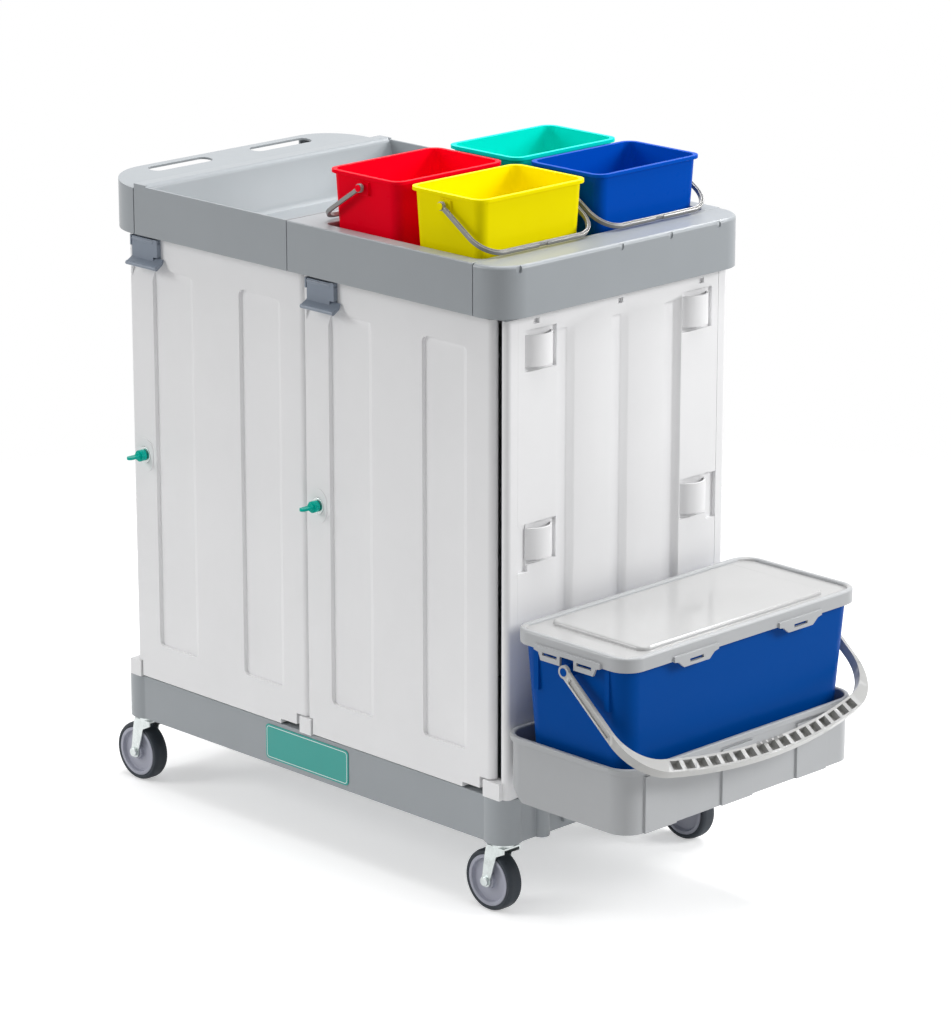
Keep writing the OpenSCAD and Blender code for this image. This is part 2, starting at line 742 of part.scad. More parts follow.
module bucket() {
  t = bucket_wall;
  color(c_blue) placed() translate([bucket_cx, 0, 0]) {
    difference() {
      union() {
        taper(bucket_w0, bucket_d0, 34, bucket_w1, bucket_d1, 34, bucket_z0, rim_z);
        rbox(bucket_w1 + 5, bucket_d1 + 5, 35, rim_z - 6, rim_z);
        for (s = [-1, 1]) for (k = [-1, 1])
          block(k * 78 - 5, k * 78 + 5, s > 0 ? bucket_d1 / 2 - 16 : -bucket_d1 / 2 - 1,
            s > 0 ? bucket_d1 / 2 + 1 : 16 - bucket_d1 / 2, rim_z - 76, rim_z - 3);
      }
      taper(bucket_w0 - 2 * t, bucket_d0 - 2 * t, 34 - t, bucket_w1 - 2 * t, bucket_d1 - 2 * t, 34 - t,
        bucket_z0 + t, rim_z + 1);
    }
    for (s = [-1, 1]) translate([0, 0, big_piv]) {
      rod_side(s, big_boss_r, bucket_d1 / 2 - 4, boss_end);
      rod_side(s, big_boss_r + 3.5, bucket_d1 / 2 - 5, arm_in - 0.5);
    }
  }
}

// Clip tab hanging from the lid skirt, wide at the top, with finger slots
module lid_tab(w1, w0, h, slots) {
  difference() {
    along_y(0, tab_t + 1) polygon([[-w1 / 2, 8], [-w1 / 2, -1], [10 - w1 / 2, -3], [-w0 / 2, -h],
      [w0 / 2, -h], [w1 / 2 - 10, -3], [w1 / 2, -1], [w1 / 2, 8]]);
    for (k = slots) translate([k - 16, -1, -7]) cube([32, tab_t + 3, 5]);
  }
}

module bucket_lid() {
  sk = rim_z - 4;
  color(c_pale) placed() translate([bucket_cx, 0, 0]) {
    difference() {
      union() {
        difference() {
          rbox(lid_w, lid_d, 38, sk, lid_z - 2);
          rbox(lid_w - 22, lid_d - 22, 27, lid_z - 7, lid_z);
        }
        rbox(lid_w - 50, lid_d - 126, 18, lid_z - 8, lid_z);
      }
      rbox(lid_w - 7, lid_d - 7, 34.5, sk - 1, rim_z + 0.6);
      rbox(lid_w - 32, lid_d - 32, 22, rim_z - 1, lid_z - 11);
    }
    for (s = [-1, 1]) {
      rotate([0, 0, s < 0 ? 0 : 180]) translate([0, -lid_d / 2 - tab_t, sk]) difference() {
        lid_tab(146, 116, 16, [-38, 38]);
        translate([-15, -1, -18]) cube([30, tab_t + 3, 18]);
      }
      for (k = [-1, 1]) translate([s * (lid_w / 2), k * lid_side_y, sk]) rotate([0, 0, s * 90])
        translate([0, -tab_t, 0]) lid_tab(104, 60, 13, [0]);
    }
  }
}

// Plan of the large bail: straight sides at y1, bends of radius rb, bowed end of radius rw at x1
module bail_plan(y1, rb, rw, x1) {
  yc = y1 - rb;
  xc = x1 - rw + sqrt((rw - rb) * (rw - rb) - yc * yc);
  yt = yc * rw / (rw - rb);
  translate([0, -y1]) square([xc, 2 * y1]);
  for (s = [-1, 1]) translate([xc, s * yc]) circle(r = rb, $fn = 96);
  intersection() {
    translate([x1 - rw, 0]) circle(r = rw, $fn = 360);
    translate([0, -yt]) square([x1 + 1, 2 * yt]);
  }
}

// Large bail: flat loop with a bowed grip of open ladder cells, folded out and down
module bucket_bail() {
  color(c_grip) placed() translate([bucket_cx, 0, big_piv]) rotate([0, grip_a, 0]) difference() {
    union() {
      translate([0, 0, -grip_t / 2]) linear_extrude(grip_t) difference() {
        bail_plan(arm_out, bend_out, bow_r, grip_r1);
        translate([-1, 0]) bail_plan(arm_in, bend_in, bow_r - grip_w, grip_r1 - grip_w + 1);
      }
      for (s = [-1, 1]) rod_side(s, big_boss_r + 4, arm_in, arm_out);
      for (k = [-2:2]) translate([grip_r1 - bow_r, 0, grip_t / 2]) rotate([0, 0, k * 0.8])
        translate([bow_r - grip_w + 3, 0, -1]) rotate([45, 0, 0]) cube([6, 8, 8], center = true);
    }
    rod_y(big_boss_r + run_fit, -arm_out - 5, arm_out + 5);
    for (s = [-1, 1]) mirror([0, s < 0 ? 1 : 0, 0]) block(18, 130, arm_out - 2.5, arm_out + 1, -5, 5);
    for (k = [-8:8]) translate([grip_r1 - bow_r, 0, 6 - grip_t / 2]) rotate([0, 0, k * 1.55])
      translate([bow_r - grip_w + 4, -9, 0]) cube([17, 18, grip_t]);
  }
}

module fork(i) {
  zt = base_z0 - 8;
  color(c_steel) placed() at_caster(i) difference() {
    union() {
      translate([0, 0, zt - 1]) cylinder(r = 20, h = 4.6);
      block(-20, 20, -fork_in - fork_t, fork_in + fork_t, zt - 3, zt);
      for (s = [-1, 1]) along_y(s > 0 ? fork_in : -fork_in - fork_t, s > 0 ? fork_in + fork_t : -fork_in) {
        polygon([[-20, zt], [20, zt], [20, zt - 9], [2, zt - 18], [9 - trail, axle_z], [-9 - trail, axle_z],
          [-24, zt - 18]]);
        translate([-trail, axle_z]) circle(r = 10.5);
      }
    }
    translate([0, 0, zt - 5]) cylinder(r = stem_r + run_fit, h = 20);
    translate([-trail, 0, axle_z]) rod_y(axle_r, -30, 30);
  }
}

module fork_fl() { fork(0); }
module fork_fr() { fork(1); }
module fork_bl() { fork(2); }
module fork_br() { fork(3); }

module axle(i) {
  w = fork_in + fork_t;
  color(c_steel) placed() at_caster(i) translate([-trail, 0, axle_z]) {
    rod_y(axle_r, -w - 2, w + 2);
    rod_y(8, -w - 5, -w);
    rod_y(8, w, w + 5);
  }
}

module axle_fl() { axle(0); }
module axle_fr() { axle(1); }
module axle_bl() { axle(2); }
module axle_br() { axle(3); }

module wheel(i) {
  r = wheel_d / 2 - 9;
  h = tyre_w / 2;
  b = axle_r + run_fit;
  color([0.65, 0.65, 0.70]) placed() at_caster(i) translate([-trail, 0, axle_z]) rotate([90, 0, 0])
    rotate_extrude() polygon([[b, -16.5], [14, -16.5], [15, -9], [r - 8, -8], [r - 6, -h], [r, -h],
      [r, h], [r - 6, h], [r - 8, 8], [15, 9], [14, 16.5], [b, 16.5]]);
}

module wheel_fl() { wheel(0); }
module wheel_fr() { wheel(1); }
module wheel_bl() { wheel(2); }
module wheel_br() { wheel(3); }

module tyre(i) {
  r = wheel_d / 2;
  h = tyre_w / 2;
  color([0.16, 0.19, 0.22]) placed() at_caster(i) translate([-trail, 0, axle_z]) rotate([90, 0, 0])
    rotate_extrude() polygon([[r - 9, -h], [r - 3, -h], [r - 0.8, 4 - h], [r, 8 - h], [r, h - 8],
      [r - 0.8, h - 4], [r - 3, h], [r - 9, h]]);
}

module tyre_fl() { tyre(0); }
module tyre_fr() { tyre(1); }
module tyre_bl() { tyre(2); }
module tyre_br() { tyre(3); }

base_frame();
panel_left();
panel_right();
divider();
rear_panel_left();
rear_panel_right();
foot_blocks();
top_plate();
handle_end();
tray_left();
tray_right();
end_cap();
end_loops();
carrier_tray();
carrier_brackets();
bracket_bolts();
lock_keepers();
swivel_stems();
door_left();
door_right();
door_pins_left();
door_pins_right();
lock_left();
lock_right();
latch_base_left();
latch_base_right();
key_left();
key_right();
latch_lever_left();
latch_lever_right();
pail_red();
pail_yellow();
pail_teal();
pail_blue();
bail_red();
bail_yellow();
bail_teal();
bail_blue();
bucket();
bucket_lid();
bucket_bail();
fork_fl();
fork_fr();
fork_bl();
fork_br();
axle_fl();
axle_fr();
axle_bl();
axle_br();
wheel_fl();
wheel_fr();
wheel_bl();
wheel_br();
tyre_fl();
tyre_fr();
tyre_bl();
tyre_br();
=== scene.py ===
import json
import math

import bmesh
import bpy
from mathutils import Matrix, Vector


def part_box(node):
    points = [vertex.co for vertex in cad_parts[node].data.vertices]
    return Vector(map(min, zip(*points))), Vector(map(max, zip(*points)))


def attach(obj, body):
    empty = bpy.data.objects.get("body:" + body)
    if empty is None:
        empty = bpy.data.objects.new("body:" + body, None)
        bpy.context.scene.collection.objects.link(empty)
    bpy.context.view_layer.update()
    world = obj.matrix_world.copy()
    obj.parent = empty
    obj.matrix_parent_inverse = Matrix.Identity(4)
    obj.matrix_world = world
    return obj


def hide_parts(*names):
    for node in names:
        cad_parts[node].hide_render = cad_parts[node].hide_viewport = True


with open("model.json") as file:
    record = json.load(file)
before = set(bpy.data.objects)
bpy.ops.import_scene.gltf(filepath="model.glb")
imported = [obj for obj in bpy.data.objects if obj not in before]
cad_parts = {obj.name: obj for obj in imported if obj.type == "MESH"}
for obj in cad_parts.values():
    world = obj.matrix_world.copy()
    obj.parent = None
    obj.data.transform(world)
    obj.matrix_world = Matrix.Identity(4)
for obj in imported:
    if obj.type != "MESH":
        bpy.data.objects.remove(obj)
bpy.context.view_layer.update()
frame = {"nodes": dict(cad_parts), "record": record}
scene = bpy.context.scene
nodes = frame["nodes"]
handle_lo, handle_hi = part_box("handle_end")
mid_x = (handle_lo.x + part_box("end_cap")[1].x) / 2
mid_y = (handle_lo.y + handle_hi.y) / 2
body_of = {n: b for b, ns in frame["record"]["behaviour"]["bodies"].items() for n in ns}
slot_of = {s["node"]: s["material_slot"] for s in frame["record"]["subparts"]}


# Finishes

GRAIN = 1400           # noise scale of a moulding's surface grain
GRAIN_DEPTH = 0.0004   # m
WAVE_DEPTH = 0.002     # m, slow unevenness of a moulded wall


def lin(r, g, b):
    """A colour written as 0 to 255, as the shader takes it."""
    out = []
    for v in (r, g, b):
        v /= 255
        out.append(v / 12.92 if v <= 0.04045 else ((v + 0.055) / 1.055) ** 2.4)
    return out


def shade(rgb, k):
    return [min(1.0, v * k) for v in rgb]


class Finish:
    """A material's nodes, added one at a time."""

    def __init__(self, name):
        self.mat = bpy.data.materials.new(name)
        self.mat.use_nodes = True
        self.tree = self.mat.node_tree
        self.bsdf = self.tree.nodes["Principled BSDF"]
        self.coord = self.add("ShaderNodeTexCoord").outputs["Object"]

    def add(self, kind, **values):
        node = self.tree.nodes.new(kind)
        for key, value in values.items():
            setattr(node, key, value)
        return node

    def link(self, out, socket):
        self.tree.links.new(out, socket)

    def feed(self, out, name):
        self.link(out, self.bsdf.inputs[name])

    def fix(self, name, value):
        self.bsdf.inputs[name].default_value = value

    def noise(self, scale, detail=3.0, rough=0.5, stretch=None):
        tex = self.add("ShaderNodeTexNoise")
        tex.inputs["Scale"].default_value = scale
        tex.inputs["Detail"].default_value = detail
        tex.inputs["Roughness"].default_value = rough
        source = self.coord
        if stretch:
            mapping = self.add("ShaderNodeMapping")
            mapping.inputs["Scale"].default_value = stretch
            self.link(self.coord, mapping.inputs["Vector"])
            source = mapping.outputs["Vector"]
        self.link(source, tex.inputs["Vector"])
        return tex.outputs["Fac"]

    def span(self, value, low, high, to_low, to_high):
        rng = self.add("ShaderNodeMapRange")
        rng.inputs["From Min"].default_value = low
        rng.inputs["From Max"].default_value = high
        rng.inputs["To Min"].default_value = to_low
        rng.inputs["To Max"].default_value = to_high
        self.link(value, rng.inputs["Value"])
        return rng.outputs["Result"]

    def blend(self, fac, a, b):
        mix = self.add("ShaderNodeMix", data_type="RGBA")
        self.link(fac, mix.inputs["Factor"])
        for value, socket in ((a, mix.inputs["A"]), (b, mix.inputs["B"])):
            if isinstance(value, (list, tuple)):
                socket.default_value = (*value[:3], 1)
            else:
                self.link(value, socket)
        return mix.outputs["Result"]

    def bump(self, height, strength, distance, normal=None):
        bump = self.add("ShaderNodeBump")
        bump.inputs["Strength"].default_value = strength
        bump.inputs["Distance"].default_value = distance
        self.link(height, bump.inputs["Height"])
        if normal:
            self.link(normal, bump.inputs["Normal"])
        return bump.outputs["Normal"]


def moulded(name, rgb, rough, relief=0.12, mottle=0.05, spec=0.5, swing=0.07, wave=0.012):
    """Injection-moulded plastic: faint flow mottling, fine grain, uneven sheen.

    relief and wave are the strengths of the fine grain and of the slow unevenness,
    swing is how far the roughness strays either way.
    """
    n = Finish(name)
    broad = n.noise(7, 4, 0.55)
    flow = n.noise(26, 5, 0.6, (1, 1, 0.35))
    tone = n.blend(n.span(broad, 0.3, 0.7, 0, 1), shade(rgb, 1 - mottle), shade(rgb, 1 + mottle))
    tone = n.blend(n.span(flow, 0.55, 0.75, 0, 0.35), tone, shade(rgb, 1 - 1.6 * mottle))
    n.feed(tone, "Base Color")
    n.feed(n.span(n.noise(60, 4), 0.3, 0.7, rough - swing, rough + swing), "Roughness")
    grainy = n.bump(n.noise(GRAIN, 2), relief, GRAIN_DEPTH)
    n.feed(n.bump(n.noise(22, 1), wave, WAVE_DEPTH, grainy), "Normal")
    n.fix("Specular IOR Level", spec)
    return n.mat


def plated(name, rgb, rough):
    """Zinc-plated steel: brushed streaks and faint patches in the plating."""
    n = Finish(name)
    patch = n.noise(90, 5, 0.6)
    streak = n.noise(420, 3, 0.5, (1, 1, 0.12))
    patchy = n.blend(n.span(patch, 0.3, 0.7, 0, 1), shade(rgb, 0.86), shade(rgb, 1.06))
    n.feed(patchy, "Base Color")
    n.feed(n.span(streak, 0.25, 0.75, rough - 0.08, rough + 0.1), "Roughness")
    n.feed(n.bump(streak, 0.08, 0.0003), "Normal")
    n.fix("Metallic", 1.0)
    return n.mat


def rubber(name, rgb):
    """Tyre rubber: dull, finely pitted, a little dust in the pits."""
    n = Finish(name)
    pits = n.noise(900, 4, 0.65)
    dust = n.noise(48, 4, 0.6)
    n.feed(n.blend(n.span(dust, 0.45, 0.75, 0, 0.5), rgb, shade(rgb, 1.7)), "Base Color")
    n.feed(n.span(dust, 0.3, 0.7, 0.5, 0.72), "Roughness")
    n.feed(n.bump(pits, 0.2, GRAIN_DEPTH), "Normal")
    n.fix("Specular IOR Level", 0.35)
    return n.mat


def lid_plastic(name, rim, top, lo, hi):
    """Lid: satin grey rim and skirt, and a glossier panel inside the rim bead whose paler grey is
    painted sheen.
    """
    bead = 0.0160                        # width of the rim bead
    skirt_lo, skirt_hi = 0.0090, 0.0080  # the satin skirt begins this far below the top
    fade = 0.0008
    n = Finish(name)
    sep = n.add("ShaderNodeSeparateXYZ")
    n.link(n.coord, sep.inputs["Vector"])
    inside = n.span(sep.outputs["Z"], hi.z - skirt_lo, hi.z - skirt_hi, 0, 1)
    for axis, a, b in (("X", lo.x, hi.x), ("Y", lo.y, hi.y)):
        off = n.add("ShaderNodeMath", operation="SUBTRACT")
        n.link(sep.outputs[axis], off.inputs[0])
        off.inputs[1].default_value = (a + b) / 2
        size = n.add("ShaderNodeMath", operation="ABSOLUTE")
        n.link(off.outputs[0], size.inputs[0])
        both = n.add("ShaderNodeMath", operation="MULTIPLY")
        n.link(inside, both.inputs[0])
        edge = (b - a) / 2 - bead
        n.link(n.span(size.outputs[0], edge, edge + fade, 1, 0), both.inputs[1])
        inside = both.outputs[0]
    n.feed(n.span(inside, 0, 1, 0.34, 0.12), "Roughness")
    cloud = n.span(n.noise(8, 4), 0.3, 0.7, 0, 1)
    # the rim's grey is the plastic's own; clear carries the panel's paler grey, which is painted
    # sheen
    dull = n.blend(cloud, shade(rim, 0.96), shade(rim, 1.04))
    clear = n.blend(cloud, shade(top, 0.97), shade(top, 1.02))
    n.feed(n.blend(inside, dull, clear), "Base Color")
    n.feed(n.bump(n.noise(30, 2), 0.05, WAVE_DEPTH), "Normal")
    return n.mat


SATIN = dict(relief=0.03, mottle=0.02, spec=0.3, swing=0.02)
VIVID = dict(relief=0.015, mottle=0.012, spec=0.03, swing=0.03)
MATS = {
    "grey_moulding": moulded("grey_moulding", lin(160, 165, 169), 0.3, **SATIN),
    "light_grey_moulding": moulded("light_grey_moulding", lin(172, 174, 176), 0.3, **SATIN),
    "white_moulding": moulded("white_moulding", lin(238, 238, 239), 0.42,
                              relief=0.10, mottle=0.015),
    "slate_plastic": moulded("slate_plastic", lin(134, 144, 158), 0.4, mottle=0.05),
    "zinc_steel": plated("zinc_steel", lin(206, 212, 211), 0.3),
    "key_teal": moulded("key_teal", lin(0, 186, 168), 0.28, relief=0.04, spec=0.15),
    "pail_red": moulded("pail_red", lin(252, 0, 34), 0.3, **VIVID),
    "pail_yellow": moulded("pail_yellow", lin(255, 238, 0), 0.3, **VIVID),
    "pail_teal": moulded("pail_teal", lin(0, 226, 210), 0.3, **VIVID),
    "pail_blue": moulded("pail_blue", lin(0, 80, 190), 0.3, **VIVID),
    "bail_grey": moulded("bail_grey", lin(140, 139, 137), 0.16,
                         relief=0.02, mottle=0.03, spec=0.7, swing=0.02),
    "grip_grey": moulded("grip_grey", lin(178, 178, 176), 0.3,
                         relief=0.02, mottle=0.02, swing=0.02, wave=0.004),
    "bucket_blue": moulded("bucket_blue", lin(0, 72, 153), 0.36, **VIVID),
    # lid: the second, paler grey is painted sheen on the panel, over the rim's own grey
    "lid_grey": lid_plastic("lid_grey", lin(176, 178, 180), lin(188, 188, 188),
                            *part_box("bucket_lid")),
    "wheel_grey": moulded("wheel_grey", lin(166, 168, 181), 0.4, mottle=0.05),
    "tyre_black": rubber("tyre_black", lin(44, 50, 57)),
}


# Ways to shape a piece

SMOOTH_TO = math.radians(38)   # faces that meet at less shade as one surface
SHARP_FROM = math.radians(35)  # edges that turn by more get a rounding
FLAT_TO = math.radians(0.5)    # faces that meet at less are one flat face
SAME = 2e-5                    # m, two places closer than this are one level
DOUBLES = 2e-6                 # m, two corners closer than this are one corner


def put(name, bm, mat, body, stands_for=None, slot=None):
    mesh = bpy.data.meshes.new(name)
    bm.to_mesh(mesh)
    bm.free()
    mesh.materials.append(mat)
    mesh.polygons.foreach_set("use_smooth", [True] * len(mesh.polygons))
    mesh.set_sharp_from_angle(angle=SMOOTH_TO)
    obj = bpy.data.objects.new(name, mesh)
    scene.collection.objects.link(obj)
    obj.modifiers.new("even", "WEIGHTED_NORMAL").keep_sharp = True
    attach(obj, body)
    if stands_for:
        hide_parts(stands_for)


def dressed(node, bm):
    put("p_" + node, bm, MATS[slot_of[node]], body_of[node], node, slot_of[node])


def finished(bm, kind, **values):
    """The mesh after one modifier of this kind with these values."""
    mesh = bpy.data.meshes.new("blank")
    bm.to_mesh(mesh)
    bm.free()
    blank = bpy.data.objects.new("blank", mesh)
    scene.collection.objects.link(blank)
    mod = blank.modifiers.new("work", kind)
    for key, value in values.items():
        setattr(mod, key, value)
    bpy.context.view_layer.update()
    shown = blank.evaluated_get(bpy.context.evaluated_depsgraph_get())
    made = bpy.data.meshes.new_from_object(shown)
    bm = bmesh.new()
    bm.from_mesh(made)
    bpy.data.objects.remove(blank)
    bpy.data.meshes.remove(mesh)
    bpy.data.meshes.remove(made)
    return bm


def cut(bm, cutter, operation):
    """The mesh less the cutter, or the part of it inside the cutter."""
    mesh = bpy.data.meshes.new("cutter")
    cutter.to_mesh(mesh)
    cutter.free()
    tool = bpy.data.objects.new("cutter", mesh)
    scene.collection.objects.link(tool)
    bm = finished(bm, "BOOLEAN", operation=operation, solver="EXACT", object=tool)
    bpy.data.objects.remove(tool)
    bpy.data.meshes.remove(mesh)
    return bm


def joined(bm, other):
    """Lays the other shape's faces into this mesh."""
    mesh = bpy.data.meshes.new("joined")
    other.to_mesh(mesh)
    other.free()
    bm.from_mesh(mesh)
    bpy.data.meshes.remove(mesh)


def cuboid(lo, hi):
    bm = bmesh.new()
    bmesh.ops.create_cube(bm, size=1)
    bmesh.ops.scale(bm, vec=Vector(hi) - Vector(lo), verts=bm.verts)
    bmesh.ops.translate(bm, vec=(Vector(lo) + Vector(hi)) / 2, verts=bm.verts)
    return bm


def bend(bm, edges, width, segments):
    bmesh.ops.bevel(bm, geom=edges, offset=width, offset_type="OFFSET", affect="EDGES",
                    segments=segments, profile=0.5, material=-1, clamp_overlap=False)


def sharp(e):
    return len(e.link_faces) == 2 and e.calc_face_angle(0) > SHARP_FROM


def level(e, z):
    return all(abs(v.co.z - z) < SAME for v in e.verts)


def sharp_at(bm, z):
    return [e for e in bm.edges if sharp(e) and level(e, z)]


def merged(node, flat=True):
    """A copy of the node's mesh with its doubles merged and its flat faces joined."""
    bm = bmesh.new()
    bm.from_mesh(nodes[node].data)
    bmesh.ops.remove_doubles(bm, verts=bm.verts, dist=DOUBLES)
    if flat:
        bmesh.ops.dissolve_limit(bm, angle_limit=FLAT_TO, verts=bm.verts, edges=bm.edges)
    return bm


def rounded(bm, width, rule=None, segments=3):
    """Rounds every sharp edge, as far as the shape leaves room."""
    weight = bm.edges.layers.float.new("bevel_weight_edge")
    for e in bm.edges:
        if sharp(e):
            e[weight] = rule(e.verts[0].co, e.verts[1].co) if rule else 1.0
    return finished(bm, "BEVEL", width=width, segments=segments,
                    limit_method="WEIGHT", miter_outer="MITER_ARC")


def rims(top, seam, *seams):
    """Weights: full on the top rim, seam at a seam plane of X, small elsewhere."""
    rim_depth = 0.0045

    def rule(a, b):
        for x in seams:
            if abs(a.x - x) < SAME and abs(b.x - x) < SAME:
                return seam
        return 1.0 if min(a.z, b.z) > top - rim_depth else 0.3

    return rule


def scooped(lo, hi):
    """Weights for a door: finer at the scoop under its latch, top left."""
    scoop_wide, scoop_high = 0.12, 0.09

    def rule(a, b):
        near = max(a.x, b.x) < lo.x + scoop_wide and min(a.z, b.z) > hi.z - scoop_high
        return 0.3 if near else 1.0

    return rule


# Pieces that only get round edges

ROUND = {
    "base_frame": 0.003, "top_plate": 0.001, "carrier_brackets": 0.002, "divider": 0.002,
    "rear_panel_left": 0.003, "rear_panel_right": 0.003, "foot_blocks": 0.005,
    "end_loops": 0.0012, "lock_left": 0.0008, "lock_right": 0.0008,
    "latch_base_left": 0.001, "latch_base_right": 0.001,
    "key_left": 0.0012, "key_right": 0.0012,
    "latch_lever_left": 0.002, "latch_lever_right": 0.002,
    "bucket": 0.0012, "lock_keepers": 0.0005, "bracket_bolts": 0.001, "swivel_stems": 0.0008,
}
SMALL_BAIL_ROUND = 0.0022
LARGE_BAIL_ROUND = 0.0012
DOOR_ROUND = 0.0028
PAILS = ("red", "yellow", "teal", "blue")
for c in PAILS:
    ROUND["pail_" + c] = 0.0012
for c in ("fl", "fr", "bl", "br"):
    ROUND.update({"fork_" + c: 0.0006, "axle_" + c: 0.001,
                  "wheel_" + c: 0.001, "tyre_" + c: 0.0015})
for n, w in ROUND.items():
    dressed(n, rounded(merged(n), w))
for c in PAILS:
    dressed("bail_" + c, rounded(merged("bail_" + c, False), SMALL_BAIL_ROUND))
dressed("bucket_bail", rounded(merged("bucket_bail", False), LARGE_BAIL_ROUND))
for n in ("door_left", "door_right"):
    dressed(n, rounded(merged(n), DOOR_ROUND, scooped(*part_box(n))))
for n in ("door_pins_left", "door_pins_right"):
    nodes[n].data.materials.clear()
    nodes[n].data.materials.append(MATS["zinc_steel"])


# End panels: the far wall of each groove stands steeper than the near one, and the
# right panel's upright edges reach out beside the door's edge

PANEL_THICK = 0.018
PANEL_ROUND = 0.003
GROOVE_PITCH = 0.126
GROOVE_DEEP = 0.011
FLOOR_EDGE = 0.004     # the groove floor's far edge, past the groove's middle
STEEPER = 0.009        # that edge moves out by this
ON_EDGE = 5e-5         # corners this near to an edge are on it
EDGE_OUT = 0.016       # reach of the upright edge past the panel
EDGE_IN = 0.0065       # and how far it laps over the panel
EDGE_PROUD = 0.0003
for n in ("panel_left", "panel_right"):
    bm = merged(n, False)
    lo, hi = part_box(n)
    deep = (hi.x - GROOVE_DEEP) if n == "panel_right" else (lo.x + GROOVE_DEEP)
    for v in bm.verts:
        if abs(v.co.x - deep) < ON_EDGE:
            for k in (-1, 0, 1):
                if abs(v.co.y - mid_y - k * GROOVE_PITCH - FLOOR_EDGE) < ON_EDGE:
                    v.co.y += STEEPER
    bm = rounded(bm, PANEL_ROUND)
    if n == "panel_right":
        for inner, outer in ((lo.y + EDGE_IN, lo.y - EDGE_OUT), (hi.y - EDGE_IN, hi.y + EDGE_OUT)):
            edge = cuboid((hi.x - PANEL_THICK, min(inner, outer), lo.z),
                          (hi.x + EDGE_PROUD, max(inner, outer), hi.z))
            uprights = [e for e in edge.edges if e.calc_length() > PANEL_THICK + 2 * EDGE_OUT and
                        all(abs(v.co.y - outer) < DOUBLES for v in e.verts)]
            bend(edge, uprights, PANEL_THICK / 2, 8)
            joined(bm, edge)
    dressed(n, bm)


# Lid and carrier tray: broad soft edges on the rims

bm = merged("bucket_lid")
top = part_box("bucket_lid")[1].z
panel_drop = 0.002  # the lid's panel lies this far below its rim bead
bead_round, panel_round = 0.0045, 0.004
bend(bm, sharp_at(bm, top), bead_round, 4)
bend(bm, sharp_at(bm, top - panel_drop), panel_round, 4)
dressed("bucket_lid", rounded(bm, 0.0015))
bm = merged("carrier_tray")
bend(bm, sharp_at(bm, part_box("carrier_tray")[1].z), 0.0035, 4)
dressed("carrier_tray", rounded(bm, 0.002))


# Top mouldings: soft rims that stay crisp where two mouldings meet

RIM = 0.007
for n in ("handle_end", "tray_right"):
    lo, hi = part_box(n)
    meets = [hi.x] if n == "handle_end" else [lo.x, hi.x]
    dressed(n, rounded(merged(n), RIM, rims(hi.z, 0.2, *meets), 4))

# Left tray: a round lip along the inner edge of its raised strip
lo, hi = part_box("tray_left")
strip, lip, wall, spare = 0.030, 0.010, 0.004, 0.002
slope_run, slope_drop = 0.016, 0.069  # the strip's inner face leans this far over its height
lean = math.atan2(slope_run, slope_drop)
cx = lo.x + strip - (lip - math.sin(lean) * (lip - wall)) / math.cos(lean)
corner = cuboid((cx, lo.y + wall, hi.z - lip * (1 - math.sin(lean))),
                (lo.x + strip + spare, hi.y - wall, hi.z + spare))
bar = bmesh.new()
bmesh.ops.create_cone(bar, cap_ends=True, segments=96, radius1=lip, radius2=lip, depth=1)
bmesh.ops.rotate(bar, matrix=Matrix.Rotation(math.radians(90), 3, "X"), verts=bar.verts)
bmesh.ops.translate(bar, vec=(cx, (lo.y + hi.y) / 2, hi.z - lip), verts=bar.verts)
bm = rounded(merged("tray_left"), 0.0018, rims(hi.z, 0.8, lo.x, hi.x))
dressed("tray_left", cut(bm, cut(corner, bar, "DIFFERENCE"), "DIFFERENCE"))

# End cap: kept inside a block with a soft top edge, so that the notches stay crisp
lo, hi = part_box("end_cap")
skin, past, cap_corner = 0.0001, 0.01, 0.056
block = cuboid((lo.x - past, lo.y - skin, lo.z - past), (hi.x + skin, hi.y + skin, hi.z + skin))
bend(block, [e for e in block.edges if all(v.co.x > hi.x for v in e.verts) and
             abs(e.verts[0].co.z - e.verts[1].co.z) > past], cap_corner, 24)
bend(block, [e for e in block.edges if level(e, hi.z + skin) and
             not all(v.co.x < lo.x for v in e.verts)], RIM, 5)
bm = rounded(merged("end_cap"), 0.0014, rims(hi.z, 1.0, lo.x))
dressed("end_cap", cut(bm, block, "INTERSECT"))


# Badge plate on the base: bare teal with a pale border line

BADGE_Z = 0.1685       # height of its middle
BADGE_WIDE, BADGE_HIGH = 0.208, 0.063
BORDER_IN = 0.003      # the border runs this far inside the plate's edge
BORDER_WIDE = 0.0012
base_front = mid_y - 0.262


def plate(wide, high, corner, back, front):
    """A thin upright plate facing -Y, from y = back to front, with round corners."""
    bm = cuboid((mid_x - wide / 2, front, BADGE_Z - high / 2),
                (mid_x + wide / 2, back, BADGE_Z + high / 2))
    bend(bm, [e for e in bm.edges if abs(e.verts[0].co.y - e.verts[1].co.y) > DOUBLES], corner, 8)
    return bm


badge = plate(BADGE_WIDE, BADGE_HIGH, 0.008, base_front + 0.0005, base_front - 0.0016)
bend(badge, [e for e in badge.edges if max(v.co.y for v in e.verts) < base_front - 0.0015],
     0.0006, 2)
teal = moulded("badge_teal", lin(40, 160, 150), 0.3,
               relief=0.01, mottle=0.02, swing=0.02, wave=0.001)
put("badge_plate", badge, teal, "cart", slot="key_teal")

line = plate(BADGE_WIDE - 2 * BORDER_IN, BADGE_HIGH - 2 * BORDER_IN, 0.0062,
             base_front - 0.0014, base_front - 0.0018)
flats = [f for f in line.faces if abs(f.normal.y) > 0.9]
bmesh.ops.inset_individual(line, faces=flats, thickness=BORDER_WIDE, use_even_offset=True)
inner = [e for f in flats for e in f.edges]
bmesh.ops.delete(line, geom=flats, context="FACES_ONLY")
bmesh.ops.bridge_loops(line, edges=inner)
bmesh.ops.recalc_face_normals(line, faces=line.faces)
pale = moulded("badge_line", lin(225, 240, 238), 0.35, relief=0.03, mottle=0.02)
put("badge_border", line, pale, "cart", slot="white_moulding")


# Floor, background, lamps, camera

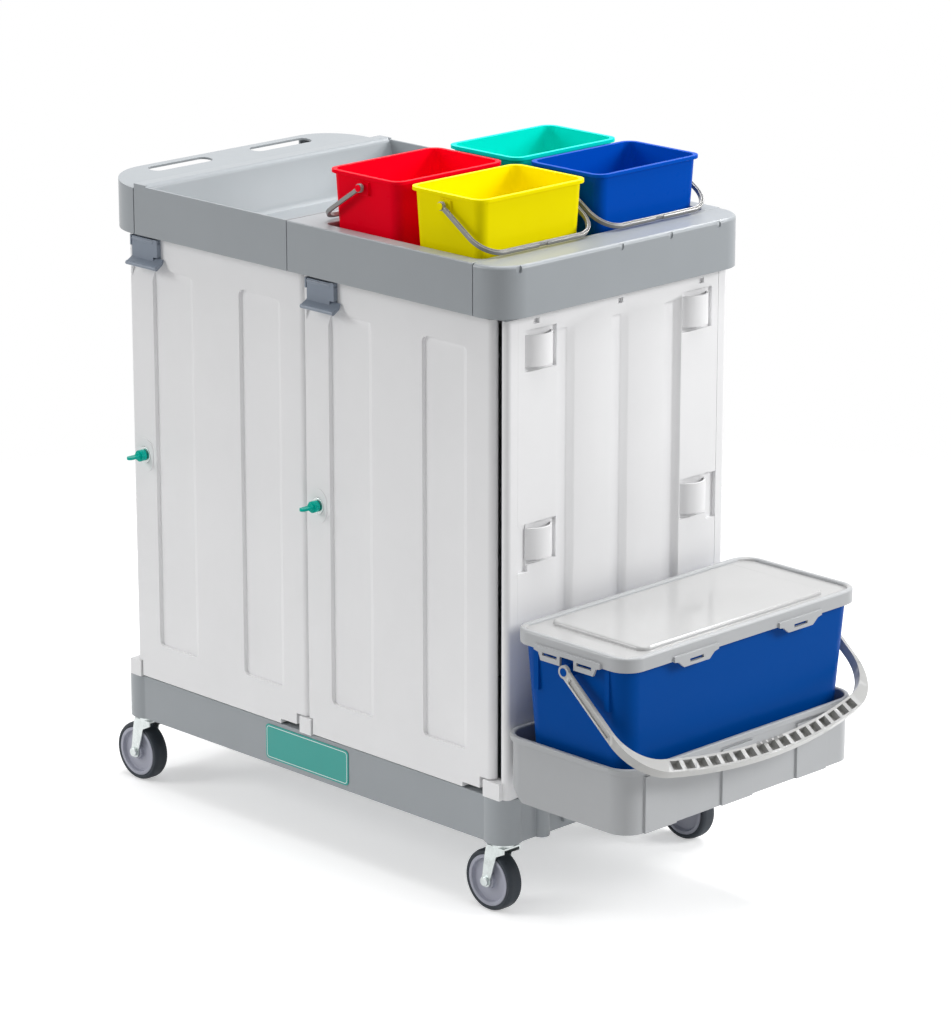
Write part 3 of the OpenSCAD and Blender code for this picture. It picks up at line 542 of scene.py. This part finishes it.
FLOOR_REACH = 6            # m
FADE_FROM, FADE_TO = 1.2, 2.6  # m from the middle, where the floor thins out to nothing
FLOOR_GLOW = 0.42          # lifts the floor to the photograph's white
SKY_LIGHT, SKY_SEEN = 0.30, 1.0


def background_rays(tree):
    """1 on rays that see the background: from the camera, in gloss and through glass."""
    path = tree.nodes.new("ShaderNodeLightPath")
    seen = path.outputs["Is Camera Ray"]
    for kind in ("Is Glossy Ray", "Is Transmission Ray"):
        either = tree.nodes.new("ShaderNodeMath")
        either.operation = "MAXIMUM"
        tree.links.new(seen, either.inputs[0])
        tree.links.new(path.outputs[kind], either.inputs[1])
        seen = either.outputs[0]
    return seen


bm = bmesh.new()
bmesh.ops.create_circle(bm, cap_ends=True, segments=96, radius=FLOOR_REACH)
mesh = bpy.data.meshes.new("floor")
bm.to_mesh(mesh)
bm.free()
floor = bpy.data.objects.new("floor", mesh)
scene.collection.objects.link(floor)
n = Finish("floor")
n.fix("Base Color", (0.93, 0.93, 0.93, 1))
n.fix("Roughness", 0.85)
n.fix("Specular IOR Level", 0.1)
far = n.add("ShaderNodeVectorMath", operation="LENGTH")
n.link(n.coord, far.inputs[0])
fade = n.span(far.outputs["Value"], FADE_FROM, FADE_TO, 1.0, 0.0)
n.feed(fade, "Alpha")
lift = n.add("ShaderNodeEmission")
glow = n.add("ShaderNodeMath", operation="MULTIPLY")
n.link(n.span(background_rays(n.tree), 0, 1, 0, FLOOR_GLOW), glow.inputs[0])
n.link(fade, glow.inputs[1])
n.link(glow.outputs[0], lift.inputs["Strength"])
lit = n.add("ShaderNodeAddShader")
n.link(n.bsdf.outputs[0], lit.inputs[0])
n.link(lift.outputs[0], lit.inputs[1])
n.link(lit.outputs[0], n.tree.nodes["Material Output"].inputs["Surface"])
mesh.materials.append(n.mat)

world = bpy.data.worlds.new("studio")
scene.world = world
world.use_nodes = True
sky = world.node_tree
sky.nodes.clear()
either_sky = sky.nodes.new("ShaderNodeMixShader")
sky.links.new(background_rays(sky), either_sky.inputs["Fac"])
for socket, strength in ((1, SKY_LIGHT), (2, SKY_SEEN)):
    even = sky.nodes.new("ShaderNodeBackground")
    even.inputs["Color"].default_value = (1, 1, 1, 1)
    even.inputs["Strength"].default_value = strength
    sky.links.new(even.outputs[0], either_sky.inputs[socket])
out = sky.nodes.new("ShaderNodeOutputWorld")
sky.links.new(either_sky.outputs[0], out.inputs["Surface"])


def softbox(name, place, aim, size, watts):
    lamp = bpy.data.lights.new(name, "AREA")
    lamp.shape = "RECTANGLE"
    lamp.size, lamp.size_y = size
    lamp.energy = watts
    obj = bpy.data.objects.new(name, lamp)
    obj.location = place
    obj.rotation_euler = (Vector(aim) - Vector(place)).to_track_quat("-Z", "Y").to_euler()
    scene.collection.objects.link(obj)


softbox("overhead", (0.1, 0.2, 4.3), (0, 0, 0.5), (3.0, 3.0), 112)
softbox("back", (0.2, 3.2, 3.9), (0, 0, 1.0), (2.6, 0.35), 60)
softbox("left", (-3.6, -4.6, 3.0), (-0.1, 0, 0.6), (2.4, 2.4), 124)
softbox("right", (4.2, 3.0, 2.9), (0.3, 0, 0.7), (2.0, 2.0), 170)

# The camera was fitted to the photograph
cam = bpy.data.cameras.new("camera")
cam.lens = 152.18
cam.sensor_width = 36
eye = bpy.data.objects.new("camera", cam)
eye.location = (mid_x + 5.1648, mid_y - 4.9682, 2.6684)
eye.rotation_euler = (math.radians(73.5), 0, math.radians(45.3))
scene.collection.objects.link(eye)
scene.camera = eye
scene.view_settings.view_transform = "Standard"
